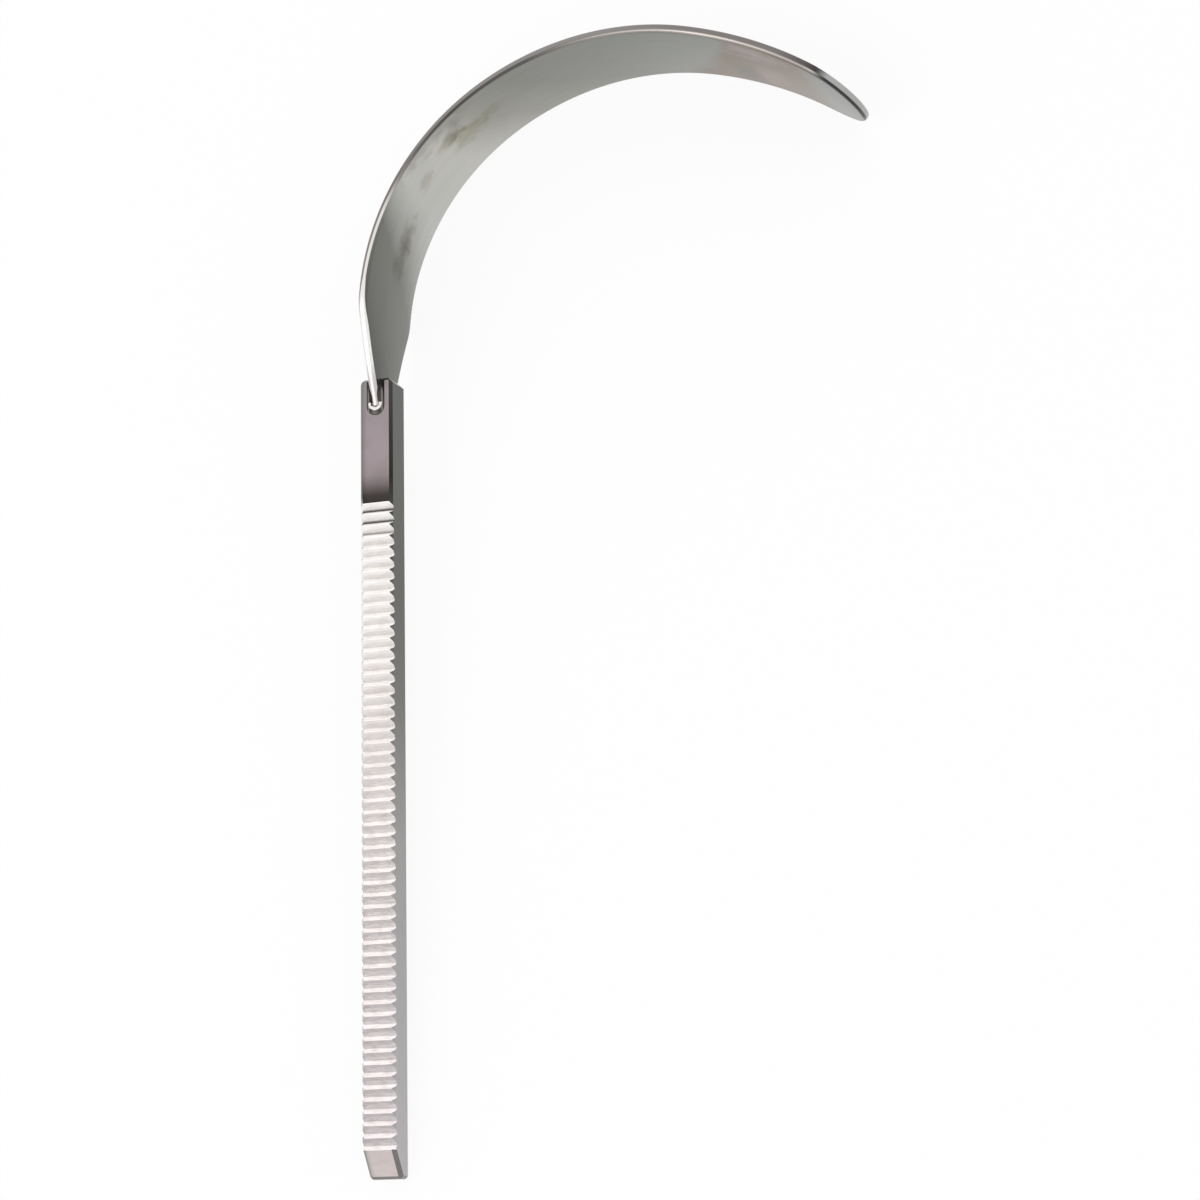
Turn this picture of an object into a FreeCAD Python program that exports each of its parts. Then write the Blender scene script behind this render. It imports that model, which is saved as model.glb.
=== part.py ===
import FreeCAD, Part
import math
import os
import Sketcher

os.makedirs("parts", exist_ok=True)

doc = FreeCAD.newDocument("retractor")

# Driving dimensions, in millimetres and degrees.
# The bar runs along Y from its butt end, its toothed face looks up Z, and the blade hooks over towards X.
SIZES = [
    ("bar_width", 9.525, "across the toothed face"),
    ("bar_depth", 9.525, "from the toothed face to the plain back"),
    ("bar_length", 217.3, "from butt end to the end that holds the blade"),
    ("bar_edge_bevel", 0.8, "bevel along the bar's outer edges"),
    ("end_corner_bevel", 1.3, "bevel of the two upright corners at the blade end"),
    ("nose_length", 7.6, "how far the butt end's bevel runs along the toothed face"),
    ("nose_land", 4.3, "height of the flat that the bevel leaves on the butt end"),
    ("tooth_count", 55, "grooves in the rack"),
    ("tooth_pitch", 3.175, "from one tooth to the next"),
    ("tooth_depth", 1.7, "from the face to the bottom of a groove"),
    ("ledge_run", 1.17, "length along the bar of the flank that looks towards the blade"),
    ("plain_length", 35.3, "smooth stretch between the blade end and the first groove"),
    ("blade_width", 32.0, "full width of the strip"),
    ("blade_thickness", 2.5, "gauge of the strip"),
    ("blade_edge_radius", 0.95, "rounding of the strip's long edges"),
    ("tip_flat", 2.0, "straight stretch left in the middle of the rounded free end"),
    ("tang_depth", 7.9, "how far the strip reaches into the bar"),
    ("tang_end_width", 9.525, "width of the strip at its end in the slot"),
    ("shoulder_offset", 18.6, "from the bar's end to where the strip has its full width"),
    ("shoulder_radius", 11.0, "rounding of the shoulder"),
    ("lead_radius", 236.8, "slight bend where the strip leaves the bar"),
    ("lead_angle", 5.25, "turn of that bend"),
    ("root_radius", 70.0, "first and tightest bend of the hook"),
    ("root_angle", 54.3, "its turn"),
    ("crown_radius", 77.6, "middle bend of the hook"),
    ("crown_angle", 45.8, "its turn"),
    ("tip_bend_radius", 113.0, "last and widest bend of the hook"),
    ("tip_bend_angle", 26.06, "its turn"),
    ("braze_gap", 0.1, "thickness of the braze between slot and strip"),
    ("fillet_leg", 1.35, "width of the braze fillet on the bar's faces"),
    ("fillet_toe", 0.15, "thickness of the fillet's rim"),
    ("fillet_lip", 0.35, "how far the fillet stands above the strip's sloping edge"),
]

sheet = doc.addObject("Spreadsheet::Sheet", "sizes")
for row, (alias, value, note) in enumerate(SIZES, start=1):
    sheet.set("A%d" % row, alias)
    sheet.set("B%d" % row, str(value))
    sheet.setAlias("B%d" % row, alias)
    sheet.set("C%d" % row, note)
doc.recompute()


def evaluate(formula):
    """The value of a formula that names cells of the sheet as sizes.alias."""
    result = sheet.evalExpression(formula.replace("sizes.", ""))
    return float(getattr(result, "Value", result))


def make_body(label):
    body = doc.addObject("PartDesign::Body", label)
    body.Label = label
    return body


def make_sketch(body, name, role):
    """An empty sketch on one of the body's own origin planes."""
    sketch = body.newObject("Sketcher::SketchObject", name)
    plane = [feature for feature in body.Origin.OriginFeatures if feature.Role == role][0]
    sketch.AttachmentSupport = [(plane, "")]
    sketch.MapMode = "FlatFace"
    return sketch


def bind(sketch, constraint, formula):
    """Add a driving constraint and tie it to a formula."""
    index = sketch.addConstraint(constraint)
    sketch.setExpression("Constraints[%d]" % index, formula)


def draw_outline(sketch, corners):
    """A closed outline of straight edges whose corners are given as pairs of formulas."""
    points = [FreeCAD.Vector(evaluate(across), evaluate(up), 0) for across, up in corners]
    first = sketch.GeometryCount
    count = len(points)
    for index in range(count):
        sketch.addGeometry(Part.LineSegment(points[index], points[(index + 1) % count]), False)
    for index in range(count):
        following = first + (index + 1) % count
        sketch.addConstraint(Sketcher.Constraint("Coincident", first + index, 2, following, 1))
    for index, (across, up) in enumerate(corners):
        edge = first + index
        bind(sketch, Sketcher.Constraint("DistanceX", -1, 1, edge, 1, points[index].x), across)
        bind(sketch, Sketcher.Constraint("DistanceY", -1, 1, edge, 1, points[index].y), up)


def cut_through(body, name, sketch, length):
    """A pocket to both sides of its sketch, whose total length is a formula."""
    pocket = body.newObject("PartDesign::Pocket", name)
    pocket.Profile = sketch
    pocket.SideType = "Symmetric"
    pocket.setExpression("Length", length)
    return pocket


# Two points closer than this, in millimetres, count as one place when edges are picked.
NEAR = 0.001


def edges_that(feature, test):
    """Names of the feature's edges whose ends both pass the test."""
    names = []
    for index, edge in enumerate(feature.Shape.Edges, start=1):
        ends = [vertex.Point for vertex in edge.Vertexes]
        if all(test(end) for end in ends):
            names.append("Edge%d" % index)
    return names


def is_upright(edge):
    """Whether the edge runs along Z."""
    start, end = [vertex.Point for vertex in edge.Vertexes]
    return math.hypot(start.x - end.x, start.y - end.y) < NEAR


def bevel_edges(body, name, base, edges, size):
    """A bevel of the named edges whose size is a formula."""
    bevel = body.newObject("PartDesign::Chamfer", name)
    bevel.Base = (base, edges)
    bevel.setExpression("Size", size)
    return bevel


def round_edges(body, name, base, edges, radius):
    """A fillet of the named edges whose radius is a formula."""
    fillet = body.newObject("PartDesign::Fillet", name)
    fillet.Base = (base, edges)
    fillet.setExpression("Radius", radius)
    return fillet


# Places and sizes that more than one piece uses.
SLOT_END = "(sizes.bar_length - sizes.tang_depth)"
SHOULDER = "(sizes.bar_length + sizes.shoulder_offset)"
FIRST_TOOTH = "(sizes.bar_length - sizes.plain_length)"
HALF_STRIP = "(sizes.blade_thickness / 2)"
HALF_SLOT = "(sizes.blade_thickness / 2 + sizes.braze_gap)"
TIP_RADIUS = "((sizes.blade_width - sizes.tip_flat) / 2)"


def make_ratchet_handle():
    """Flat-sided steel bar with a milled rack, a bevelled butt end and a slot that takes the strip."""
    body = make_body("ratchet_handle")

    section = make_sketch(body, "bar_section", "XZ_Plane")
    draw_outline(section, [
        ("-sizes.bar_width / 2", "-sizes.bar_depth / 2"),
        ("sizes.bar_width / 2", "-sizes.bar_depth / 2"),
        ("sizes.bar_width / 2", "sizes.bar_depth / 2"),
        ("-sizes.bar_width / 2", "sizes.bar_depth / 2"),
    ])
    bar = body.newObject("PartDesign::Pad", "bar")
    bar.Profile = section
    bar.Reversed = True
    bar.setExpression("Length", "sizes.bar_length")

    # The bevel takes away the wedge between the toothed face and the butt end.
    wedge = make_sketch(body, "nose_wedge", "YZ_Plane")
    draw_outline(wedge, [
        ("0", "sizes.nose_land - sizes.bar_depth / 2"),
        ("sizes.nose_length", "sizes.bar_depth / 2"),
        ("0", "sizes.bar_depth / 2"),
    ])
    nose = cut_through(body, "nose", wedge, "sizes.bar_width")
    doc.recompute()

    # The two upright corners at the blade end are taken off first.
    blade_end = evaluate("sizes.bar_length")
    at_end = edges_that(nose, lambda end: abs(end.y - blade_end) < NEAR)
    corners = [name for name in at_end if is_upright(nose.Shape.getElement(name))]
    cornered = bevel_edges(body, "end_corners", nose, corners, "sizes.end_corner_bevel")
    doc.recompute()

    # Every other outer edge is broken by a narrow bevel, but not the crease between nose and toothed face.
    crease = evaluate("sizes.nose_length")
    face = evaluate("sizes.bar_depth / 2")
    middle = evaluate("sizes.bar_length / 2")
    kept = edges_that(cornered, lambda end: abs(end.y - crease) < NEAR and abs(end.z - face) < NEAR)
    for name in edges_that(cornered, lambda end: end.y > middle):
        if is_upright(cornered.Shape.getElement(name)):
            kept.append(name)
    outer = [name for name in edges_that(cornered, lambda end: True) if name not in kept]
    bevel_edges(body, "bar_edges", cornered, outer, "sizes.bar_edge_bevel")

    slot_outline = make_sketch(body, "slot_outline", "XY_Plane")
    draw_outline(slot_outline, [
        ("-" + HALF_SLOT, SLOT_END + " - sizes.braze_gap"),
        (HALF_SLOT, SLOT_END + " - sizes.braze_gap"),
        (HALF_SLOT, "sizes.bar_length"),
        ("-" + HALF_SLOT, "sizes.bar_length"),
    ])
    cut_through(body, "slot", slot_outline, "sizes.bar_depth")

    # One V groove: a long flank that falls away from the blade and a short ledge that looks towards it.
    groove_outline = make_sketch(body, "groove_outline", "YZ_Plane")
    draw_outline(groove_outline, [
        (FIRST_TOOTH, "sizes.bar_depth / 2"),
        (FIRST_TOOTH + " - sizes.tooth_pitch + sizes.ledge_run", "sizes.bar_depth / 2 - sizes.tooth_depth"),
        (FIRST_TOOTH + " - sizes.tooth_pitch", "sizes.bar_depth / 2"),
    ])
    groove = cut_through(body, "groove", groove_outline, "sizes.bar_width")
    doc.recompute()

    rack = body.newObject("PartDesign::LinearPattern", "rack")
    rack.Originals = [groove]
    rack.Direction = (groove_outline, ["H_Axis"])
    rack.Reversed = True
    rack.setExpression("Occurrences", "sizes.tooth_count")
    rack.setExpression("Length", "(sizes.tooth_count - 1) * sizes.tooth_pitch")
    body.Tip = rack
    doc.recompute()
    return body


def hook_bends():
    """Radius and turn of each bend, from the bar to the free end."""
    names = ["lead", "root", "crown", "tip_bend"]
    return [("sizes.%s_radius" % name, "sizes.%s_angle" % name) for name in names]


def draw_hook_path(sketch):
    """Centre line of the strip: straight in the slot, then four tangent bends, each turning towards X."""
    start = FreeCAD.Vector(0, evaluate(SLOT_END), 0)
    point = FreeCAD.Vector(0, evaluate("sizes.bar_length"), 0)
    line = sketch.addGeometry(Part.LineSegment(start, point), False)
    bind(sketch, Sketcher.Constraint("DistanceX", -1, 1, line, 1, 0.0), "0")
    bind(sketch, Sketcher.Constraint("DistanceY", -1, 1, line, 1, start.y), SLOT_END)
    bind(sketch, Sketcher.Constraint("DistanceY", line, 1, line, 2, point.y - start.y), "sizes.tang_depth")
    sketch.addConstraint(Sketcher.Constraint("Vertical", line))
    heading = 0.0
    previous = (line, 2)
    for radius_formula, turn_formula in hook_bends():
        radius = evaluate(radius_formula)
        turn = math.radians(evaluate(turn_formula))
        centre = point + FreeCAD.Vector(math.cos(heading), -math.sin(heading), 0) * radius
        circle = Part.Circle(centre, FreeCAD.Vector(0, 0, 1), radius)
        arc = sketch.addGeometry(
            Part.ArcOfCircle(circle, math.pi - heading - turn, math.pi - heading), False)
        sketch.addConstraint(Sketcher.Constraint("Tangent", previous[0], previous[1], arc, 2))
        bind(sketch, Sketcher.Constraint("Radius", arc, radius), radius_formula)
        bind(sketch, Sketcher.Constraint("Angle", arc, turn), turn_formula)
        heading += turn
        point = centre - FreeCAD.Vector(math.cos(heading), -math.sin(heading), 0) * radius
        previous = (arc, 1)
    return point


def rim_edges(feature):
    """Names of the edges that run round the strip's outline on its inner and outer faces."""
    slot_end = evaluate(SLOT_END)
    thickness = evaluate("sizes.blade_thickness")
    tip_flat = evaluate("sizes.tip_flat")
    names = []
    for index, edge in enumerate(feature.Shape.Edges, start=1):
        start, end = [vertex.Point for vertex in edge.Vertexes]
        level = abs(start.z - end.z) < NEAR
        crosses_thickness = level and abs(edge.Length - thickness) < thickness / 20
        crosses_face = is_upright(edge) and edge.Length > 2 * tip_flat
        in_slot_end = max(start.y, end.y) < slot_end + NEAR
        if not (crosses_thickness or crosses_face or in_slot_end):
            names.append("Edge%d" % index)
    return names


def make_curved_blade():
    """Flat steel strip, tapered into the bar, bent to a hook and rounded off at its free end."""
    body = make_body("curved_blade")

    path = make_sketch(body, "hook_path", "XY_Plane")
    free_end = draw_hook_path(path)

    section = make_sketch(body, "strip_section", "XZ_Plane")
    section.setExpression("AttachmentOffset.Base.z", "-" + SLOT_END)
    draw_outline(section, [
        ("-" + HALF_STRIP, "-sizes.blade_width / 2"),
        (HALF_STRIP, "-sizes.blade_width / 2"),
        (HALF_STRIP, "sizes.blade_width / 2"),
        ("-" + HALF_STRIP, "sizes.blade_width / 2"),
    ])
    strip = body.newObject("PartDesign::AdditivePipe", "strip")
    strip.Profile = section
    strip.Spine = (path, [])
    doc.recompute()

    # The tang narrows evenly on both sides from the shoulder to its end in the slot.
    waste = make_sketch(body, "tang_waste", "YZ_Plane")
    for side in ("", "-"):
        draw_outline(waste, [
            (SLOT_END, side + "sizes.tang_end_width / 2"),
            (SHOULDER, side + "sizes.blade_width / 2"),
            (SLOT_END, side + "sizes.blade_width / 2"),
        ])
    tang = cut_through(body, "tang", waste, "sizes.bar_width")
    doc.recompute()

    shoulder = evaluate(SHOULDER)
    thickness = evaluate("sizes.blade_thickness")
    shoulder_edges = edges_that(tang, lambda end: abs(end.y - shoulder) < thickness / 8)
    shouldered = round_edges(body, "shoulders", tang, shoulder_edges, "sizes.shoulder_radius")
    doc.recompute()

    # The two corners of the free end are rounded until the end is nearly a half circle.
    end_edges = edges_that(
        shouldered, lambda end: math.hypot(end.x - free_end.x, end.y - free_end.y) < thickness)
    corners = [name for name in end_edges if shouldered.Shape.getElement(name).Length < 2 * thickness]
    tip = round_edges(body, "tip", shouldered, corners, TIP_RADIUS)
    doc.recompute()
    round_edges(body, "blade_edges", tip, rim_edges(tip), "sizes.blade_edge_radius")
    doc.recompute()
    return body


def draw_fillet_section(sketch, wall, side, foot, back):
    """Section of a braze fillet with a hollow flank, standing on the face at height foot.

    It leans on a wall at the formula wall and spreads to the given side ("" or "-"); back is how far the
    section reaches behind the wall. All heights and widths are formulas.
    """
    leg = "sizes.fillet_leg"
    toe = "sizes.fillet_toe"
    sign = "-1" if side else "1"
    corners = [
        ("%s - %s * %s" % (wall, sign, back), foot),
        ("%s + %s * %s" % (wall, sign, leg), foot),
        ("%s + %s * %s" % (wall, sign, leg), foot + " + " + toe),
        ("%s + %s * %s" % (wall, sign, toe), foot + " + " + leg),
        ("%s - %s * %s" % (wall, sign, back), foot + " + " + leg),
    ]
    points = [FreeCAD.Vector(evaluate(across), evaluate(up), 0) for across, up in corners]
    straight = [(0, 1), (1, 2), (3, 4), (4, 0)]
    lines = [sketch.addGeometry(Part.LineSegment(points[a], points[b]), False) for a, b in straight]
    for line, (start, end) in zip(lines, straight):
        across, up = corners[start]
        bind(sketch, Sketcher.Constraint("DistanceX", -1, 1, line, 1, points[start].x), across)
        bind(sketch, Sketcher.Constraint("DistanceY", -1, 1, line, 1, points[start].y), up)
    sketch.addConstraint(Sketcher.Constraint("Coincident", lines[0], 2, lines[1], 1))
    sketch.addConstraint(Sketcher.Constraint("Coincident", lines[2], 2, lines[3], 1))
    sketch.addConstraint(Sketcher.Constraint("Coincident", lines[3], 2, lines[0], 1))

    # The quarter circle joins the end of the toe to the top of the leg.
    centre = FreeCAD.Vector(points[2].x, points[3].y, 0)
    radius = evaluate(leg + " - " + toe)
    circle = Part.Circle(centre, FreeCAD.Vector(0, 0, 1), radius)
    first_angle = math.pi if not side else 1.5 * math.pi
    flank = sketch.addGeometry(Part.ArcOfCircle(circle, first_angle, first_angle + math.pi / 2), False)
    toe_end, leg_end = (2, 1) if not side else (1, 2)
    sketch.addConstraint(Sketcher.Constraint("Coincident", lines[1], 2, flank, toe_end))
    sketch.addConstraint(Sketcher.Constraint("Coincident", lines[2], 1, flank, leg_end))
    bind(sketch, Sketcher.Constraint("DistanceX", -1, 1, lines[1], 2, points[2].x), corners[2][0])
    bind(sketch, Sketcher.Constraint("DistanceY", -1, 1, lines[1], 2, points[2].y), corners[2][1])
    bind(sketch, Sketcher.Constraint("Radius", flank, radius), leg + " - " + toe)


def sketch_axis(sketch, place, reach):
    """A construction line straight up the sketch at a place, named as a reference axis.

    Both the place and the line's length are formulas.
    """
    across = evaluate(place)
    end = FreeCAD.Vector(across, evaluate(reach), 0)
    line = sketch.addGeometry(Part.LineSegment(FreeCAD.Vector(across, 0, 0), end), True)
    sketch.addConstraint(Sketcher.Constraint("Vertical", line))
    bind(sketch, Sketcher.Constraint("DistanceX", -1, 1, line, 1, across), place)
    return "Axis0"


def make_braze():
    """Silver braze: a thin film round the tang in its slot, with a hollow fillet on each face of the bar."""
    body = make_body("braze")
    braze_top = "(sizes.bar_length - sizes.bar_edge_bevel)"
    face = "sizes.bar_depth / 2"

    film_outline = make_sketch(body, "film_outline", "XY_Plane")
    draw_outline(film_outline, [
        ("-" + HALF_SLOT, braze_top),
        ("-" + HALF_SLOT, SLOT_END + " - sizes.braze_gap"),
        (HALF_SLOT, SLOT_END + " - sizes.braze_gap"),
        (HALF_SLOT, braze_top),
        (HALF_STRIP, braze_top),
        (HALF_STRIP, SLOT_END),
        ("-" + HALF_STRIP, SLOT_END),
        ("-" + HALF_STRIP, braze_top),
    ])
    film = body.newObject("PartDesign::Pad", "film")
    film.Profile = film_outline
    film.SideType = "Symmetric"
    film.setExpression("Length", "sizes.bar_depth")
    doc.recompute()

    # A leg runs up each side of the strip.
    leg_section = make_sketch(body, "leg_section", "XZ_Plane")
    leg_section.setExpression("AttachmentOffset.Base.z", "-" + SLOT_END)
    draw_fillet_section(leg_section, HALF_STRIP, "", face, "0")
    draw_fillet_section(leg_section, "-" + HALF_STRIP, "-", face, "0")
    legs = body.newObject("PartDesign::Pad", "legs")
    legs.Profile = leg_section
    legs.Reversed = True
    legs.setExpression("Length", "sizes.tang_depth - sizes.bar_edge_bevel")
    doc.recompute()

    # A half-round pool joins the legs round the end of the tang.
    pool_section = make_sketch(body, "pool_section", "YZ_Plane")
    draw_fillet_section(pool_section, SLOT_END + " - " + HALF_STRIP, "-", face, HALF_STRIP)
    axis = sketch_axis(pool_section, SLOT_END, "sizes.bar_depth")
    pool = body.newObject("PartDesign::Revolution", "pool")
    pool.Profile = pool_section
    pool.ReferenceAxis = (pool_section, [axis])
    pool.Angle = 180
    pool.Midplane = True
    doc.recompute()

    far_side = body.newObject("PartDesign::Mirrored", "far_side")
    far_side.Originals = [legs, pool]
    far_side.MirrorPlane = (film_outline, [""])
    body.Tip = far_side
    doc.recompute()

    # The braze ends a little above the strip's sloping edge, and lies low where the strip has none.
    slope = "(sizes.blade_width - sizes.tang_end_width) / 2 / (sizes.tang_depth + sizes.shoulder_offset)"
    low = "(sizes.bar_depth / 2 + sizes.fillet_lip)"
    high = "(%s + sizes.tang_depth * %s)" % (low, slope)
    over = "(sizes.bar_depth / 2 + sizes.blade_width)"
    beyond = "(%s - %s - 2 * sizes.fillet_leg)" % (SLOT_END, HALF_STRIP)
    waste = make_sketch(body, "braze_waste", "YZ_Plane")
    for side in ("", "-"):
        draw_outline(waste, [
            (beyond, side + low),
            (SLOT_END, side + low),
            ("sizes.bar_length", side + high),
            ("sizes.bar_length", side + over),
            (beyond, side + over),
        ])
    cut_through(body, "braze_level", waste, "2 * sizes.bar_width")
    doc.recompute()
    return body


def rest_turn():
    """Rotation that lays the piece on its side.

    Three points touch the table: a corner of the butt end, the strip's edge at the shoulder and the
    strip's edge where the round tip begins.
    """
    butt = FreeCAD.Vector(evaluate("sizes.bar_width / 2"), 0, -evaluate("sizes.bar_depth / 2"))
    low = -evaluate("sizes.blade_width / 2")
    shoulder = FreeCAD.Vector(0, evaluate(SHOULDER), low)
    point = FreeCAD.Vector(0, evaluate("sizes.bar_length"), low)
    heading = 0.0
    for radius_formula, turn_formula in hook_bends():
        radius = evaluate(radius_formula)
        turn = math.radians(evaluate(turn_formula))
        point += FreeCAD.Vector(math.cos(heading), -math.sin(heading), 0) * radius
        heading += turn
        point -= FreeCAD.Vector(math.cos(heading), -math.sin(heading), 0) * radius
    tip = point - FreeCAD.Vector(math.sin(heading), math.cos(heading), 0) * evaluate(TIP_RADIUS)
    table = (tip - butt).cross(shoulder - butt).normalize()
    if table.z < 0:
        table = table * -1
    return FreeCAD.Rotation(table, FreeCAD.Vector(0, 0, 1))


bodies = [make_ratchet_handle(), make_curved_blade(), make_braze()]

# The origin is on the table under the middle of the part.
turn = FreeCAD.Placement(FreeCAD.Vector(0, 0, 0), rest_turn())
box = FreeCAD.BoundBox()
for body in bodies:
    turned = body.Shape.copy()
    turned.Placement = turn
    box.add(turned.optimalBoundingBox(False, False))
base = FreeCAD.Vector(-box.Center.x, -box.Center.y, -box.ZMin)
for body in bodies:
    body.Placement = FreeCAD.Placement(base, turn.Rotation)
doc.recompute()

for thing in doc.Objects:
    if "Invalid" in thing.State or "Error" in thing.State:
        raise RuntimeError("%s failed to build" % thing.Name)
for body in bodies:
    if body.Shape.isNull() or not body.Shape.isValid() or len(body.Shape.Solids) != 1:
        raise RuntimeError("%s is not one sound solid" % body.Label)

for body in bodies:
    body.Shape.exportStep("parts/%s.step" % body.Label)
    print(body.Label, round(body.Shape.Volume, 1), body.Shape.optimalBoundingBox(False, False))
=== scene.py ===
import bpy
import math
from mathutils import Euler, Matrix, Vector


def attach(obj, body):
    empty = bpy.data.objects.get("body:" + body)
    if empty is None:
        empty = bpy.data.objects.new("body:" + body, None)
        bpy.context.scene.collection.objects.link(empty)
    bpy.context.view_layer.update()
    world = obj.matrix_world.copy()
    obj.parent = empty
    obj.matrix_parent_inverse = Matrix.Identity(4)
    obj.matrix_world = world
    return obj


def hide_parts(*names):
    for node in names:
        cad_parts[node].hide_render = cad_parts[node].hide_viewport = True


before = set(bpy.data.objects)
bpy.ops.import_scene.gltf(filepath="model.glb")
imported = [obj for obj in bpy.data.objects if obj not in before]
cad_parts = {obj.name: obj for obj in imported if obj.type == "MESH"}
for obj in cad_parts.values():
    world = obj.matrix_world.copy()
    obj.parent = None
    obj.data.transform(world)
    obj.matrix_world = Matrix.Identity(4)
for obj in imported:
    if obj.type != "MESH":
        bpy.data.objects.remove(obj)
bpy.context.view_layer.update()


# Camera: it looks down on the toothed side from the right of the bar, through a long lens,
# as the photograph does.
camera_data = bpy.data.cameras.new("camera")
camera_data.lens = 92.47
camera_data.sensor_width = 36.0
camera_data.sensor_fit = "HORIZONTAL"
camera_data.clip_start = 0.01
camera_data.clip_end = 50.0
camera = bpy.data.objects.new("camera", camera_data)
camera.location = (0.269403, -0.212465, 0.755540)
camera.rotation_euler = Euler([math.radians(angle) for angle in (14.7419, 20.27751, -0.17001)])
bpy.context.collection.objects.link(camera)
bpy.context.scene.camera = camera


# The ratchet bar: square steel bar with a sawtooth rack milled across one face, a sloping nose,
# a slot for the blade in its other end, and all its outer edges broken by a bevel.
MM = 0.001
BAR_WIDTH = 9.525 * MM
BAR_DEPTH = 9.525 * MM
BAR_LENGTH = 217.3 * MM
PLAIN_LENGTH = 35.3 * MM
TEETH = 55
TOOTH_PITCH = 3.175 * MM
TOOTH_DEPTH = 1.7 * MM
LEDGE_RUN = 1.17 * MM
NOSE_LENGTH = 7.6 * MM
NOSE_LAND = 4.3 * MM
EDGE_BEVEL = 0.8 * MM
NOSE_BEVEL = 1.0 * MM
CORNER_BEVEL = 1.3 * MM
SLOT_WIDTH = 2.7 * MM
SLOT_DEPTH = 8.0 * MM
WORN_EDGE = 0.07 * MM
CREST_LIFT = 0.06 * MM
TINY = 0.01 * MM
WELD = 0.001 * MM
# A piece is drawn with the bar along Y and the teeth up, and then laid on the table like this.
LAID = (Matrix.Translation(Vector((-67.8206, -152.661, 4.88864)) * MM)
        @ Euler([math.radians(angle) for angle in (2.7058522, 1.0644801, 0.0251410)]).to_matrix().to_4x4())


def start_plane(low, high):
    """A flat rectangle between two corners of the ground plane, open in edit mode."""
    bpy.ops.object.select_all(action="DESELECT")
    middle = [(a + b) / 2 for a, b in zip(low, high)]
    bpy.ops.mesh.primitive_plane_add(size=1.0, location=(middle[0], middle[1], 0))
    piece = bpy.context.object
    piece.scale = (high[0] - low[0], high[1] - low[1], 1.0)
    bpy.ops.object.transform_apply(location=True, rotation=True, scale=True)
    bpy.ops.object.mode_set(mode="EDIT")
    return piece


def pick(kind, test):
    """In edit mode, select the vertices, edges or faces whose corners all pass a test on their place."""
    bpy.ops.mesh.select_mode(type=kind)
    bpy.ops.mesh.select_all(action="DESELECT")
    bpy.ops.object.mode_set(mode="OBJECT")
    mesh = bpy.context.object.data
    if kind == "VERT":
        for vertex in mesh.vertices:
            vertex.select = test(vertex.co)
    else:
        for part in mesh.edges if kind == "EDGE" else mesh.polygons:
            part.select = all(test(mesh.vertices[index].co) for index in part.vertices)
    bpy.ops.object.mode_set(mode="EDIT")


def pick_all():
    """In edit mode, select the whole piece."""
    bpy.ops.mesh.select_all(action="SELECT")


def grow(along):
    """Extrude what is selected by a vector."""
    bpy.ops.mesh.extrude_region_move(TRANSFORM_OT_translate={"value": along})


def cut_off(point, normal):
    """Cut the whole piece with a plane, take away the side that the normal points to, close the cut."""
    pick_all()
    bpy.ops.mesh.bisect(plane_co=point, plane_no=Vector(normal).normalized(), use_fill=True,
                        clear_outer=True, threshold=TINY / 10)


def break_edge(point, one, other, size):
    """Bevel the edge through a point where the faces with these two normals meet."""
    one = Vector(one).normalized()
    other = Vector(other).normalized()
    inward = (one.dot(other) * one - other).normalized()
    cut_off(Vector(point) + inward * size, one + other)


def apply_modifier(piece, kind, **settings):
    """Give a piece a modifier with its settings and apply it at once."""
    modifier = piece.modifiers.new(kind.lower(), kind)
    for name, value in settings.items():
        setattr(modifier, name, value)
    bpy.ops.object.select_all(action="DESELECT")
    piece.select_set(True)
    bpy.context.view_layer.objects.active = piece
    bpy.ops.object.modifier_apply(modifier=modifier.name)


def lay_down(piece):
    """Close the mesh, turn its faces outwards and put the piece on the table, its place in its mesh."""
    bpy.ops.mesh.select_mode(type="VERT")
    pick_all()
    bpy.ops.mesh.remove_doubles(threshold=WELD)
    bpy.ops.mesh.normals_make_consistent(inside=False)
    bpy.ops.object.mode_set(mode="OBJECT")
    bpy.ops.object.select_all(action="DESELECT")
    piece.select_set(True)
    piece.matrix_world = LAID
    bpy.ops.object.transform_apply(location=True, rotation=True, scale=True)


def take_map(piece, name, place_of):
    """Keep where each corner of the mesh lies, worked out from its place now, as a map on the piece."""
    kept = piece.data.uv_layers.new(name=name)
    for loop in piece.data.loops:
        kept.data[loop.index].uv = place_of(piece.data.vertices[loop.vertex_index].co)


def metal(name, roughness):
    """A bare metal; its colour is still to be linked."""
    material = bpy.data.materials.new(name)
    material.use_nodes = True
    shader = material.node_tree.nodes["Principled BSDF"]
    shader.inputs["Metallic"].default_value = 1.0
    shader.inputs["Roughness"].default_value = roughness
    return material, material.node_tree, shader


def add_node(tree, kind, values, **settings):
    """Add a node with its settings; each value is a number, a colour or a socket to link from."""
    made = tree.nodes.new(kind)
    for name, setting in settings.items():
        setattr(made, name, setting)
    for place, value in values:
        if isinstance(value, bpy.types.NodeSocket):
            tree.links.new(value, made.inputs[place])
        else:
            made.inputs[place].default_value = value
    return made


def read_map(tree, name):
    """The two values of a map that a piece keeps."""
    kept = add_node(tree, "ShaderNodeUVMap", [], uv_map=name)
    split = add_node(tree, "ShaderNodeSeparateXYZ", [(0, kept.outputs[0])])
    return split.outputs[0], split.outputs[1]


def reckon(tree, operation, *values):
    """A sum worked out by a Math node from numbers or sockets."""
    return add_node(tree, "ShaderNodeMath", enumerate(values), operation=operation).outputs[0]


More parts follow.
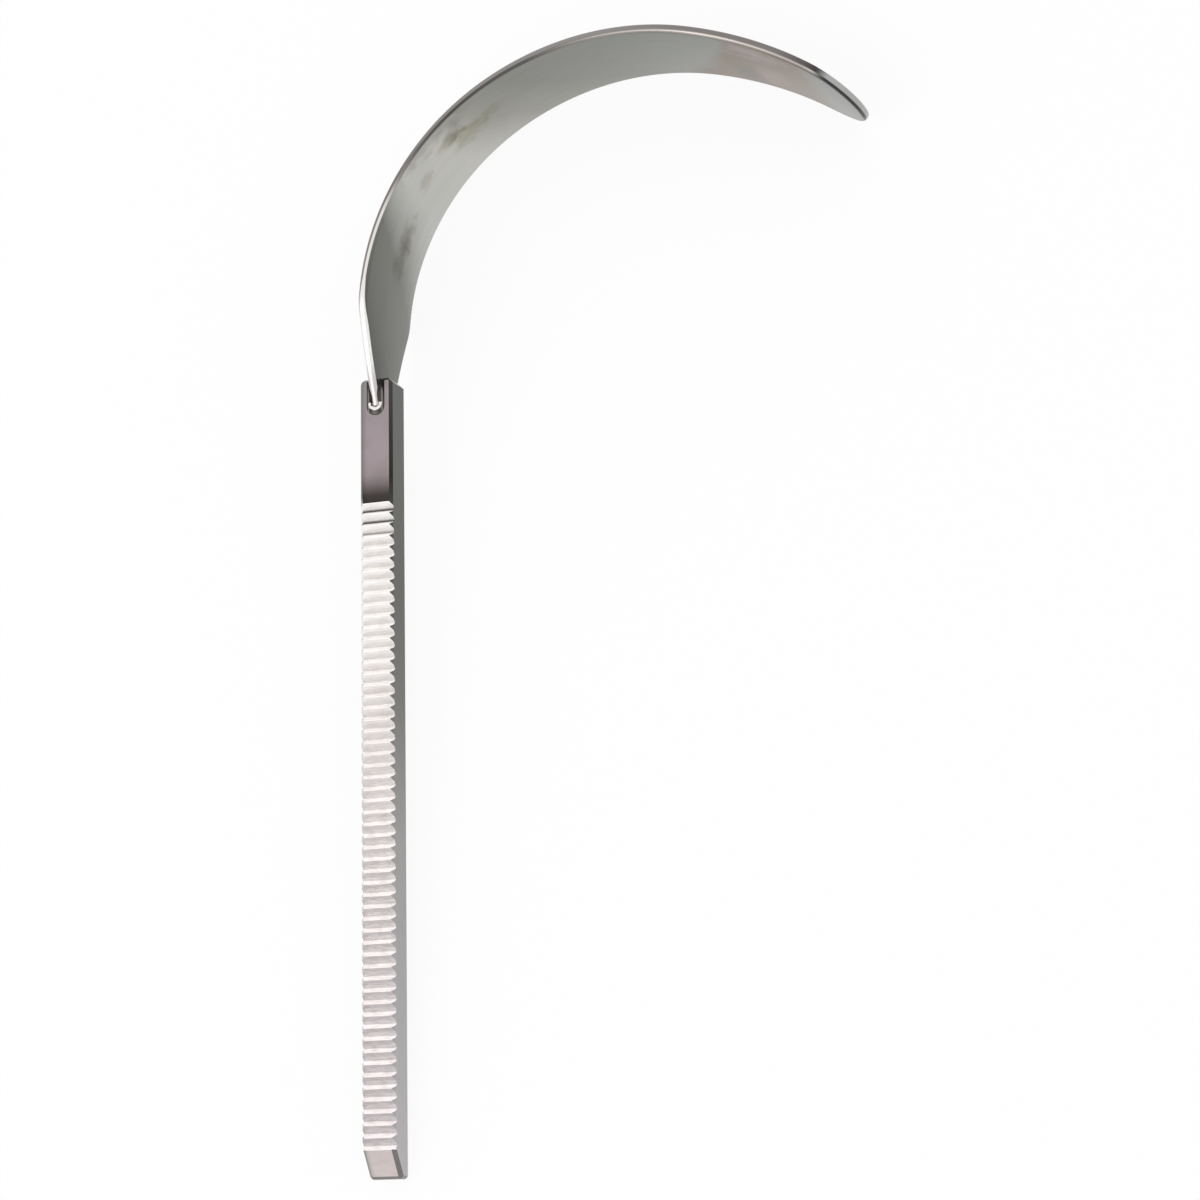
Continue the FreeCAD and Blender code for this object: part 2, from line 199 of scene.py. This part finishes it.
def rise(tree, value, low, high):
    """From 0 to 1 as the value goes from one number to another, softly at both ends."""
    values = [("Value", value), ("From Min", low), ("From Max", high)]
    return add_node(tree, "ShaderNodeMapRange", values, interpolation_type="SMOOTHSTEP").outputs[0]


def blend(tree, share, one, other, kind="MIX"):
    """One colour with a share of another put over it."""
    mix = add_node(tree, "ShaderNodeMix", [], data_type="RGBA", blend_type=kind)
    for place, value in ((0, share), (6, one), (7, other)):
        if isinstance(value, bpy.types.NodeSocket):
            tree.links.new(value, mix.inputs[place])
        else:
            mix.inputs[place].default_value = value
    return mix.outputs[2]


def grain(tree, place, scale):
    """Noise at a place made of three values."""
    joined = add_node(tree, "ShaderNodeCombineXYZ", enumerate(place)).outputs[0]
    values = [("Vector", joined), ("Scale", scale), ("Detail", 4.0)]
    return add_node(tree, "ShaderNodeTexNoise", values).outputs[0]


def tones(tree, value, low, high, stops):
    """A colour that changes with a value; each stop is a share of the way and a colour."""
    way = add_node(tree, "ShaderNodeMapRange", [("Value", value), ("From Min", low), ("From Max", high)])
    ramp = add_node(tree, "ShaderNodeValToRGB", [(0, way.outputs[0])])
    row = ramp.color_ramp.elements
    for place, colour in stops[1:-1]:
        row.new(place).color = (*colour, 1)
    row[0].position, row[0].color = stops[0][0], (*stops[0][1], 1)
    row[-1].position, row[-1].color = stops[-1][0], (*stops[-1][1], 1)
    return ramp.outputs[0]


face = BAR_DEPTH / 2
side = BAR_WIDTH / 2
first_crest = BAR_LENGTH - PLAIN_LENGTH
bar = start_plane((-side, 0), (side, BAR_LENGTH))
pick_all()
grow((0, 0, BAR_DEPTH))
pick_all()
bpy.ops.transform.translate(value=(0, 0, -face))
nose = Vector((0, NOSE_LAND - BAR_DEPTH, NOSE_LENGTH))
cut_off((0, NOSE_LENGTH, face), nose)
for across in (1, -1):
    break_edge((across * side, BAR_LENGTH, 0), (0, 1, 0), (across, 0, 0), CORNER_BEVEL)
    break_edge((across * side, 0, face), (0, 0, 1), (across, 0, 0), EDGE_BEVEL)
    break_edge((across * side, 0, -face), (0, 0, -1), (across, 0, 0), EDGE_BEVEL)
    break_edge((across * side, NOSE_LENGTH, face), nose, (across, 0, 0), NOSE_BEVEL)
    break_edge((across * side, 0, 0), (0, -1, 0), (across, 0, 0), EDGE_BEVEL)
    break_edge((0, BAR_LENGTH, across * face), (0, 1, 0), (0, 0, across), EDGE_BEVEL)
break_edge((0, 0, NOSE_LAND - face), (0, -1, 0), nose, EDGE_BEVEL)
break_edge((0, 0, -face), (0, -1, 0), (0, 0, -1), EDGE_BEVEL)
bpy.ops.object.mode_set(mode="OBJECT")

# The milling cutter's path: one V groove drawn from the side, repeated at the pitch of the rack.
last_crest = BAR_LENGTH - PLAIN_LENGTH - TEETH * TOOTH_PITCH
cutter = start_plane((last_crest, face + CREST_LIFT), (last_crest + TOOTH_PITCH, face + BAR_DEPTH))
pick_all()
bpy.ops.mesh.bisect(plane_co=(last_crest + LEDGE_RUN, 0, 0), plane_no=(1, 0, 0), threshold=TINY / 10)
pick("VERT", lambda co: abs(co.x - last_crest - LEDGE_RUN) < TINY and co.y < BAR_DEPTH)
bpy.ops.transform.translate(value=(0, -TOOTH_DEPTH - CREST_LIFT, 0))
bpy.ops.object.mode_set(mode="OBJECT")
apply_modifier(cutter, "ARRAY", count=TEETH, use_relative_offset=False, use_constant_offset=True,
               constant_offset_displace=(TOOTH_PITCH, 0, 0), use_merge_vertices=True, merge_threshold=TINY)
bpy.ops.object.mode_set(mode="EDIT")
pick_all()
grow((0, 0, 2 * BAR_WIDTH))
pick_all()
bpy.ops.transform.translate(value=(0, 0, -BAR_WIDTH))
bpy.ops.mesh.normals_make_consistent(inside=False)
bpy.ops.object.mode_set(mode="OBJECT")
cutter.matrix_world = Matrix(((0, 0, 1, 0), (1, 0, 0, 0), (0, 1, 0, 0), (0, 0, 0, 1)))
apply_modifier(bar, "BOOLEAN", object=cutter, operation="DIFFERENCE", solver="EXACT")
bpy.data.objects.remove(cutter)

# The slot for the blade is sawn into the end.
bpy.ops.mesh.primitive_cube_add(size=1.0, location=(0, BAR_LENGTH, 0))
slot_tool = bpy.context.object
slot_tool.scale = (SLOT_WIDTH, 2 * SLOT_DEPTH, 2 * BAR_DEPTH)
apply_modifier(bar, "BOOLEAN", object=slot_tool, operation="DIFFERENCE", solver="EXACT")
bpy.data.objects.remove(slot_tool)
apply_modifier(bar, "BEVEL", limit_method="ANGLE", angle_limit=math.radians(18),
               width=WORN_EDGE, segments=3)
take_map(bar, "along", lambda co: (co.y / MM, co.x / MM))
take_map(bar, "height", lambda co: (co.z / MM, 0))
bpy.ops.object.mode_set(mode="EDIT")
lay_down(bar)
bpy.ops.object.shade_smooth_by_angle(angle=math.radians(28))
apply_modifier(bar, "WEIGHTED_NORMAL", keep_sharp=True, weight=80)
bar.name = "toothed_bar"
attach(bar, "root")
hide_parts("ratchet_handle")

# Its steel: ground faces and milled grooves, with a pink cast and streaks across lower down; its light and
# shade are painted reflections: dull grey by the blade to pale at the nose, darker bevels, bright grooves.
bar_steel, tree, shader = metal("bar_steel", 0.26)
y, x = read_map(tree, "along")
z = read_map(tree, "height")[0]
across = reckon(tree, "ABSOLUTE", x)
past_side = reckon(tree, "SUBTRACT", across, side / MM)
past_face = reckon(tree, "SUBTRACT", reckon(tree, "ABSOLUTE", z), face / MM)

# How each kind of face changes along the bar, as shares of the way from the nose to the blade end. These
# tones are painted reflections, such as the near-black band just above the first groove on the plain face.
flat = tones(tree, y, 0, BAR_LENGTH / MM, [
    (0.000, (0.64, 0.57, 0.56)), (0.050, (0.58, 0.51, 0.50)), (0.838, (0.045, 0.040, 0.036)),
    (0.848, (0.065, 0.055, 0.053)), (0.859, (0.170, 0.143, 0.145)), (0.874, (0.310, 0.262, 0.272)),
    (0.900, (0.365, 0.305, 0.325)), (1.000, (0.320, 0.280, 0.290))])
flank = tones(tree, y, 0, BAR_LENGTH / MM, [
    (0.030, (0.55, 0.51, 0.515)), (0.350, (0.62, 0.585, 0.585)), (0.560, (0.84, 0.80, 0.79)),
    (0.680, (0.95, 0.92, 0.90)), (0.840, (0.97, 0.94, 0.92))])
ledge = tones(tree, y, 0, BAR_LENGTH / MM, [
    (0.030, (0.96, 0.96, 0.96)), (0.350, (0.90, 0.90, 0.89)), (0.560, (0.66, 0.65, 0.64)),
    (0.840, (0.57, 0.56, 0.55))])
sides = tones(tree, y, 0, BAR_LENGTH / MM, [
    (0.000, (0.44, 0.42, 0.44)), (0.220, (0.37, 0.365, 0.365)), (0.405, (0.31, 0.305, 0.300)),
    (0.590, (0.135, 0.137, 0.125)), (0.720, (0.086, 0.089, 0.078)), (1.000, (0.080, 0.086, 0.074))])
near_bevel = tones(tree, y, 0, BAR_LENGTH / MM, [
    (0.000, (0.42, 0.40, 0.40)), (0.350, (0.40, 0.38, 0.38)), (0.560, (0.20, 0.19, 0.19)),
    (0.800, (0.10, 0.095, 0.09)), (0.870, (0.03, 0.03, 0.025)), (1.000, (0.065, 0.062, 0.058))])
far_bevel = tones(tree, y, 0, BAR_LENGTH / MM, [
    (0.000, (0.22, 0.21, 0.21)), (0.034, (0.22, 0.21, 0.21)), (0.060, (0.60, 0.56, 0.56)),
    (0.500, (0.70, 0.66, 0.66)), (0.830, (0.92, 0.91, 0.91)), (0.845, (0.05, 0.05, 0.05)),
    (0.880, (0.17, 0.16, 0.155)), (1.000, (0.18, 0.175, 0.165))])

# Within a pitch the ledge comes first and then the flank. In the last grooves below the blade painted
# shade makes the root a dark line, further down painted shade darkens the flanks at the foot, and lowest
# of all they are streaked.
ledge_share = LEDGE_RUN / TOOTH_PITCH
pitches = reckon(tree, "DIVIDE", reckon(tree, "SUBTRACT", y, last_crest / MM), TOOTH_PITCH / MM)
of_pitch = reckon(tree, "FRACT", pitches)
is_flank = rise(tree, of_pitch, ledge_share - 0.01, ledge_share + 0.01)
unshaded_groove = blend(tree, is_flank, ledge, flank)
root_line = reckon(tree, "MULTIPLY", rise(tree, of_pitch, 0.17, 0.25), rise(tree, of_pitch, 0.42, 0.385))
painted_root_shade = reckon(tree, "MULTIPLY", root_line, rise(tree, y, 169.5, 177.0))
groove = blend(tree, painted_root_shade, unshaded_groove, (0.12, 0.11, 0.11, 1))
upper = rise(tree, y, 85.0, 130.0)
flank_foot = reckon(tree, "MULTIPLY", is_flank, rise(tree, of_pitch, 0.80, 0.45))
painted_foot_shade = reckon(tree, "MULTIPLY", upper, flank_foot)
footed = blend(tree, painted_foot_shade, groove, (0.86, 0.86, 0.86, 1), "MULTIPLY")
streak_place = (reckon(tree, "MULTIPLY", y, 2.2), reckon(tree, "MULTIPLY", x, 0.14), z)
streaks = reckon(tree, "MULTIPLY", is_flank, rise(tree, grain(tree, streak_place, 3.0), 0.35, 0.70))
faint = reckon(tree, "MULTIPLY", streaks, reckon(tree, "MULTIPLY_ADD", upper, -0.75, 1.0))
streaked = blend(tree, faint, footed, (0.80, 0.77, 0.77, 1), "MULTIPLY")

# Which face a point lies on is told from its place: rack or plain face, then sides and back, then the
# long bevels, of which the far upper one is painted bright beside the rack, as a reflection.
above_low_end = rise(tree, y, last_crest / MM - 0.05, last_crest / MM + 0.05)
below_top_end = rise(tree, y, first_crest / MM + 0.05, first_crest / MM - 0.05)
in_rack = reckon(tree, "MULTIPLY", above_low_end, below_top_end)
# The plain face is painted darker towards one long edge, as a reflection.
shaded = blend(tree, rise(tree, x, -2.4, -4.2), flat, (0.70, 0.74, 0.71, 1), "MULTIPLY")
top = blend(tree, in_rack, shaded, streaked)
off_top = reckon(tree, "MAXIMUM", rise(tree, past_side, -0.03, -0.01), rise(tree, z, -4.3, -4.6))
outside = blend(tree, off_top, top, sides)
edge_width = EDGE_BEVEL / MM
corner = reckon(tree, "ADD", past_side, past_face)
far_top = reckon(tree, "MULTIPLY", rise(tree, x, 1, -1), rise(tree, z, -1, 1))
bevel = blend(tree, far_top, near_bevel, far_bevel)
bevelled = blend(tree, rise(tree, corner, -edge_width - 0.08, -edge_width - 0.02), outside, bevel)

# The three kinds of bevel round the nose are painted one dull tone, as a reflection.
nose_way = nose.normalized()
nose_width = NOSE_BEVEL / MM
foot_width = edge_width * nose_way.z
nose_shift = -nose_way.dot((0, NOSE_LENGTH, face)) / MM
over_nose = reckon(tree, "ADD", reckon(tree, "MULTIPLY", y, nose_way.y),
                   reckon(tree, "MULTIPLY_ADD", z, nose_way.z, nose_shift))
nose_side = reckon(tree, "ADD", past_side, over_nose)
nose_foot = reckon(tree, "SUBTRACT", over_nose, y)
end_corner = reckon(tree, "SUBTRACT", past_side, y)
nose_edge = reckon(tree, "MAXIMUM", rise(tree, nose_side, -nose_width - 0.06, -nose_width - 0.02),
                   rise(tree, nose_foot, -foot_width - 0.06, -foot_width - 0.02))
any_edge = reckon(tree, "MAXIMUM", nose_edge,
                  rise(tree, end_corner, -edge_width - 0.06, -edge_width - 0.02))
near_nose = reckon(tree, "MULTIPLY", any_edge, rise(tree, y, NOSE_LENGTH / MM, NOSE_LENGTH / MM - 0.2))
nosed = blend(tree, near_nose, bevelled, (0.20, 0.185, 0.185, 1))
cloud_place = (reckon(tree, "MULTIPLY", y, 0.25), reckon(tree, "MULTIPLY", x, 0.25), z)
cloudy = rise(tree, grain(tree, cloud_place, 1.0), 0.40, 0.75)
clouded = blend(tree, cloudy, nosed, (0.93, 0.92, 0.91, 1), "MULTIPLY")
tree.links.new(clouded, shader.inputs["Base Color"])
bar.data.materials.append(bar_steel)


# The bent blade: sheet steel cut to a flat blank with a tapered tang and a round end, its edges
# rounded off, then bent to a hook in four bends and polished to a satin finish along its length.
BLADE_WIDTH = 32.0 * MM
BLADE_GAUGE = 2.5 * MM
EDGE_ROUND = 0.95 * MM
TANG_DEPTH = 7.9 * MM
TANG_WIDTH = 9.525 * MM
SHOULDER_AT = 26.5 * MM
SHOULDER_ROUND = 11.0 * MM
TIP_ROUND = 15.0 * MM
BENDS = [(236.8 * MM, 5.25), (70.0 * MM, 54.3), (77.6 * MM, 45.8), (113.0 * MM, 26.06)]
BLANK_CUT = 2.0 * MM
BLANK_LENGTH = TANG_DEPTH + sum(radius * math.radians(turn) for radius, turn in BENDS)
blade = start_plane((0, -BLADE_WIDTH / 2), (BLANK_LENGTH, BLADE_WIDTH / 2))
taper = (BLADE_WIDTH - TANG_WIDTH) / 2 / SHOULDER_AT
for across in (1, -1):
    pick_all()
    bpy.ops.mesh.bisect(plane_co=(0, across * TANG_WIDTH / 2, 0), clear_outer=True, threshold=TINY / 10,
                        plane_no=Vector((-taper, across, 0)).normalized())
pick("VERT", lambda co: abs(co.x - SHOULDER_AT) < TINY)
bpy.ops.mesh.bevel(offset=SHOULDER_ROUND * math.tan(math.atan(taper) / 2), segments=6, affect="VERTICES")
pick("VERT", lambda co: abs(co.x - BLANK_LENGTH) < TINY)
bpy.ops.mesh.bevel(offset=TIP_ROUND, segments=28, affect="VERTICES")
pick("FACE", lambda co: True)
grow((0, 0, BLADE_GAUGE))
pick_all()
bpy.ops.transform.translate(value=(0, 0, -BLADE_GAUGE / 2))
bpy.ops.mesh.normals_make_consistent(inside=False)
for height in (BLADE_GAUGE / 2, -BLADE_GAUGE / 2):
    pick("EDGE", lambda co: abs(co.z - height) < TINY)
    bpy.ops.mesh.bevel(offset=EDGE_ROUND, segments=5, affect="EDGES")
for cut in range(1, int(BLANK_LENGTH / BLANK_CUT)):
    pick_all()
    bpy.ops.mesh.bisect(plane_co=(cut * BLANK_CUT, 0, 0), plane_no=(1, 0, 0), threshold=TINY / 10)
pick_all()
bpy.ops.mesh.remove_doubles(threshold=WELD)
bpy.ops.mesh.normals_make_consistent(inside=False)
bpy.ops.object.mode_set(mode="OBJECT")

# The pattern of the polish follows the blank, so its maps are taken before the bending, in millimetres.
take_map(blade, "along", lambda co: (co.x / MM, co.y / MM))
take_map(blade, "through", lambda co: (co.z / MM, 0))
blade.rotation_euler = (math.pi / 2, 0, 0)
bpy.ops.object.transform_apply(rotation=True)

# The hook's middle line: straight in the slot, then four arcs, each drawn with the handles of an arc.
bpy.ops.object.select_all(action="DESELECT")
bpy.ops.curve.primitive_bezier_curve_add()
hook = bpy.context.object
hook.data.dimensions = "2D"
hook.data.resolution_u = 64
points = hook.data.splines[0].bezier_points
points.add(len(BENDS) + 2 - len(points))
for point in points:
    point.handle_left_type = "FREE"
    point.handle_right_type = "FREE"
stretches = [(TANG_DEPTH, TANG_DEPTH / 3, 0.0)]
for radius, turn in BENDS:
    turn = math.radians(turn)
    stretches.append((2 * radius * math.sin(turn / 2), radius * math.tan(turn / 4) * 4 / 3, turn))
place = Vector((0, BAR_LENGTH - TANG_DEPTH, 0))
heading = 0.0
points[0].co = place
points[0].handle_left = place
for index, (chord, reach, turn) in enumerate(stretches):
    points[index].handle_right = place + Vector((math.sin(heading), math.cos(heading), 0)) * reach
    place = place + Vector((math.sin(heading + turn / 2), math.cos(heading + turn / 2), 0)) * chord
    heading += turn
    points[index + 1].co = place
    points[index + 1].handle_left = place - Vector((math.sin(heading), math.cos(heading), 0)) * reach
points[-1].handle_right = place
apply_modifier(blade, "CURVE", object=hook, deform_axis="POS_X")
bpy.data.objects.remove(hook)
bpy.ops.object.mode_set(mode="EDIT")
lay_down(blade)
bpy.ops.object.shade_smooth_by_angle(angle=math.radians(35))
blade.name = "hook_blade"
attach(blade, "root")
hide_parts("curved_blade")

# Its steel: a satin polish along the strip, painted as a reflection that is dull and dark near the bar,
# palest where the strip first turns and mid grey over the top, with a brownish cast before the tip and a
# few smears and marks.
blade_steel, tree, shader = metal("blade_steel", 0.28)
u, v = read_map(tree, "along")
w = read_map(tree, "through")[0]
cloud = grain(tree, (reckon(tree, "MULTIPLY", u, 0.09), reckon(tree, "MULTIPLY", v, 0.09), w), 1.0)
wander = reckon(tree, "MULTIPLY", reckon(tree, "SUBTRACT", cloud, 0.5), 24.0)
spread = reckon(tree, "MULTIPLY_ADD", v, 0.025, 1.0)
placed = reckon(tree, "MULTIPLY_ADD", reckon(tree, "SUBTRACT", u, 70.0), spread, 70.0)
# Painted reflection along the strip: dark by the bar, palest at the first turn, mid grey over the top.
reflection_tones = tones(tree, reckon(tree, "MULTIPLY_ADD", wander, 0.25, placed), 0, 210, [
    (0.00, (0.095, 0.094, 0.088)), (0.07, (0.130, 0.130, 0.118)), (0.20, (0.180, 0.183, 0.165)),
    (0.29, (0.500, 0.500, 0.475)), (0.37, (0.520, 0.515, 0.480)), (0.45, (0.320, 0.315, 0.285)),
    (0.54, (0.250, 0.252, 0.232)), (0.74, (0.245, 0.252, 0.232)), (1.00, (0.230, 0.235, 0.220))])


def spot(tree, along, across, middle, size, edge):
    """A mark with a soft outline, wavy where edge is noise: 1 inside, 0 outside."""
    far = reckon(tree, "DIVIDE", reckon(tree, "SUBTRACT", along, middle[0]), size[0])
    wide = reckon(tree, "DIVIDE", reckon(tree, "SUBTRACT", across, middle[1]), size[1])
    square = reckon(tree, "MULTIPLY_ADD", far, far, reckon(tree, "MULTIPLY", wide, wide))
    reach = reckon(tree, "SQRT", square)
    return rise(tree, reckon(tree, "MULTIPLY_ADD", edge, 2.4, reach), 2.7, 1.4)


# Smears and marks on the inner face: where each lies along and across the blank, its size and its tint.
marks = [
    ((44, -2), (5.5, 3.4), (0.72, 0.70, 0.66, 1)),
    ((51, -1), (5.0, 3.2), (0.66, 0.64, 0.60, 1)),
    ((67, 3.5), (3.0, 2.8), (0.82, 0.80, 0.74, 1)),
    ((80, 7), (4.5, 3.0), (0.80, 0.78, 0.71, 1)),
    ((82, 8.5), (3.4, 3.4), (0.72, 0.72, 0.70, 1)),
    ((75, 16), (11.0, 4.5), (0.76, 0.75, 0.74, 1)),
    ((86, 2), (6.0, 4.0), (0.78, 0.77, 0.68, 1)),
    ((94, 4), (5.0, 2.5), (0.90, 0.89, 0.82, 1))]
inner_face = rise(tree, w, -0.2, 0.2)
blotch = grain(tree, (reckon(tree, "MULTIPLY", u, 0.30), reckon(tree, "MULTIPLY", v, 0.30), w), 1.0)
marked = reflection_tones
for middle, size, tint in marks:
    share = reckon(tree, "MULTIPLY", inner_face, spot(tree, u, v, middle, size, blotch))
    marked = blend(tree, share, marked, tint, "MULTIPLY")

# The brownish cast before the tip, with two pinker patches and a darker one in it.
slant = reckon(tree, "MULTIPLY_ADD", v, -0.61, u)
from_top = rise(tree, reckon(tree, "MULTIPLY_ADD", wander, 0.5, slant), 158.0, 166.0)
to_tip = rise(tree, reckon(tree, "MULTIPLY_ADD", wander, 0.3, u), 200, 189)
cast = reckon(tree, "MULTIPLY", inner_face, reckon(tree, "MULTIPLY", from_top, to_tip))
patches = [
    ((175, 11), (9.0, 5.0), blotch, (0.280, 0.230, 0.214, 1)),
    ((178, -6), (4.5, 7.0), blotch, (0.262, 0.192, 0.162, 1)),
    ((170, -9), (2.8, 4.8), 0.3, (0.150, 0.128, 0.098, 1))]
stained = blend(tree, cast, marked, (0.200, 0.150, 0.110, 1))
for middle, size, edge, tint in patches:
    share = reckon(tree, "MULTIPLY", cast, spot(tree, u, v, middle, size, edge))
    stained = blend(tree, share, stained, tint)


def slide(tree, value, low, high, start, end):
    """From start to end, evenly, as the value goes from low to high."""
    values = [("Value", value), ("From Min", low), ("From Max", high), ("To Min", start), ("To Max", end)]
    return add_node(tree, "ShaderNodeMapRange", values).outputs[0]


# A painted reflection runs as a line along the rounded edge: bright and as wide as the edge beside the
# bar, dark over the top of the hook, then thin and bright, and dark again round the tip, where the rest of
# the edge is painted bright.
line_at = slide(tree, u, 20.0, 115.0, 0.0, 0.70)
line_half = slide(tree, u, 16.0, 34.0, 1.40, 0.36)
from_line = reckon(tree, "SUBTRACT", w, line_at)
line = rise(tree, reckon(tree, "SUBTRACT", reckon(tree, "ABSOLUTE", from_line), line_half), 0.12, -0.05)
rim_line_reflection = tones(tree, u, 0, 210, [
    (0.000, (0.56, 0.52, 0.52)), (0.035, (0.62, 0.58, 0.58)), (0.055, (0.86, 0.86, 0.84)),
    (0.250, (0.80, 0.78, 0.76)), (0.300, (0.30, 0.28, 0.27)), (0.345, (0.130, 0.125, 0.120)),
    (0.410, (0.085, 0.080, 0.075)), (0.530, (0.105, 0.100, 0.095)), (0.630, (0.30, 0.28, 0.26)),
    (0.700, (0.34, 0.31, 0.29)), (0.770, (0.46, 0.42, 0.39)), (0.940, (0.30, 0.28, 0.26)),
    (0.955, (0.05, 0.05, 0.05)), (1.000, (0.06, 0.06, 0.06))])
rim_reflection = tones(tree, u, 0, 210, [
    (0.000, (0.40, 0.38, 0.38)), (0.120, (0.30, 0.27, 0.26)), (0.300, (0.21, 0.185, 0.18)),
    (0.360, (0.27, 0.255, 0.25)), (0.630, (0.29, 0.275, 0.27)), (0.730, (0.245, 0.225, 0.220)),
    (0.880, (0.220, 0.200, 0.195)), (0.925, (0.125, 0.110, 0.105)), (0.943, (0.055, 0.050, 0.045)),
    (0.958, (0.42, 0.42, 0.42)), (1.000, (0.40, 0.40, 0.39))])
rim = blend(tree, line, rim_reflection, rim_line_reflection)
past_line = rise(tree, reckon(tree, "SUBTRACT", from_line, line_half), 0.16, 0.04)
on_rim = reckon(tree, "MULTIPLY", past_line, rise(tree, reckon(tree, "ABSOLUTE", w), 1.22, 1.12))
edged = blend(tree, on_rim, stained, rim)
brushed = grain(tree, (reckon(tree, "MULTIPLY", u, 0.05), reckon(tree, "MULTIPLY", v, 2.4), w), 1.0)
finish = blend(tree, rise(tree, brushed, 0.35, 0.70), edged, (0.93, 0.93, 0.92, 1), "MULTIPLY")
tree.links.new(finish, shader.inputs["Base Color"])
blade.data.materials.append(blade_steel)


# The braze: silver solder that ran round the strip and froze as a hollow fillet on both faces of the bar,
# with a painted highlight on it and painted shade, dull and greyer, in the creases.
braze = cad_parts["braze"].copy()
braze.data = braze.data.copy()
bpy.context.collection.objects.link(braze)
bpy.ops.object.select_all(action="DESELECT")
braze.select_set(True)
bpy.context.view_layer.objects.active = braze
bpy.ops.object.mode_set(mode="EDIT")
bpy.ops.mesh.select_mode(type="VERT")
pick_all()
bpy.ops.mesh.remove_doubles(threshold=5 * WELD)
bpy.ops.mesh.normals_make_consistent(inside=False)
bpy.ops.object.mode_set(mode="OBJECT")
bpy.ops.object.shade_smooth_by_angle(angle=math.radians(50))
unlaid = LAID.inverted()
take_map(braze, "along", lambda co: ((unlaid @ co).y / MM, (unlaid @ co).x / MM))
braze.name = "silver_braze"
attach(braze, "root")
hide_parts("braze")

# Its metal: a painted highlight as a ragged bright crescent under the strip, dull above it, painted shade
# dark in the crease along the slot, and a thin painted highlight beside it.
CRESCENT_AT = 210.1
braze_metal, tree, shader = metal("braze_metal", 0.22)
y, x = read_map(tree, "along")
ripple = grain(tree, (y, x, 0.0), 1.4)
below = reckon(tree, "SUBTRACT", y, CRESCENT_AT)
ring = reckon(tree, "SQRT", reckon(tree, "MULTIPLY_ADD", x, x, reckon(tree, "MULTIPLY", below, below)))
ragged = reckon(tree, "ADD", reckon(tree, "SUBTRACT", ripple, 0.5), ring)
ring_band = reckon(tree, "MULTIPLY", rise(tree, ragged, 0.95, 1.20), rise(tree, ragged, 2.15, 1.85))
crescent_highlight = reckon(tree, "MULTIPLY", ring_band, rise(tree, below, 0.35, -0.05))
# A thin painted highlight along the fillet beside the slot; elsewhere it is painted dark.
from_middle = reckon(tree, "ABSOLUTE", x)
fillet_glint = reckon(tree, "MULTIPLY", rise(tree, from_middle, 1.75, 1.95), rise(tree, from_middle, 2.25, 2.1))
dull = blend(tree, fillet_glint, (0.07, 0.065, 0.06, 1), (0.24, 0.225, 0.22, 1))
silver = blend(tree, crescent_highlight, dull, (0.86, 0.83, 0.82, 1))
tree.links.new(silver, shader.inputs["Base Color"])
braze.data.materials.clear()
braze.data.materials.append(braze_metal)


# Floor and light: a plain white sheet under a white studio, with one large soft lamp above the far
# side. The sheet shows nearly white to the camera and in the steel, and keeps a faint shadow.
FLOOR_RADIUS = 4.0
FLOOR_DROP = 0.2 * MM
SEEN_WHITE = 0.90
bpy.ops.object.select_all(action="DESELECT")
bpy.ops.mesh.primitive_circle_add(vertices=96, radius=FLOOR_RADIUS, fill_type="NGON",
                                  location=(0, 0, -FLOOR_DROP))
floor = bpy.context.object
floor.name = "floor"
paper = bpy.data.materials.new("paper")
paper.use_nodes = True
tree = paper.node_tree
tree.nodes.clear()
path = add_node(tree, "ShaderNodeLightPath", [])
plainly_seen = reckon(tree, "MAXIMUM", path.outputs["Is Camera Ray"], path.outputs["Is Glossy Ray"])
seen = reckon(tree, "MAXIMUM", plainly_seen, path.outputs["Is Transmission Ray"])
sheet = add_node(tree, "ShaderNodeBsdfDiffuse", [("Color", (0.88, 0.88, 0.88, 1))])
white = add_node(tree, "ShaderNodeEmission", [("Strength", 1.0)])
paper_look = add_node(tree, "ShaderNodeMixShader", [
    (0, reckon(tree, "MULTIPLY", seen, SEEN_WHITE)), (1, sheet.outputs[0]), (2, white.outputs[0])])
add_node(tree, "ShaderNodeOutputMaterial", [("Surface", paper_look.outputs[0])])
floor.data.materials.append(paper)

world = bpy.data.worlds.new("studio")
bpy.context.scene.world = world
world.use_nodes = True
world.node_tree.nodes["Background"].inputs["Color"].default_value = (1, 1, 1, 1)
world.node_tree.nodes["Background"].inputs["Strength"].default_value = 1.0

overhead = bpy.data.lights.new("overhead", "AREA")
overhead.shape = "SQUARE"
overhead.size = 0.7
overhead.energy = 3.0
lamp = bpy.data.objects.new("overhead", overhead)
lamp.location = (-0.69, -0.45, 1.4)
lamp.rotation_euler = (lamp.location - Vector((-0.07, 0, 0))).to_track_quat("Z", "Y").to_euler()
bpy.context.collection.objects.link(lamp)

bpy.context.scene.view_settings.view_transform = "Standard"
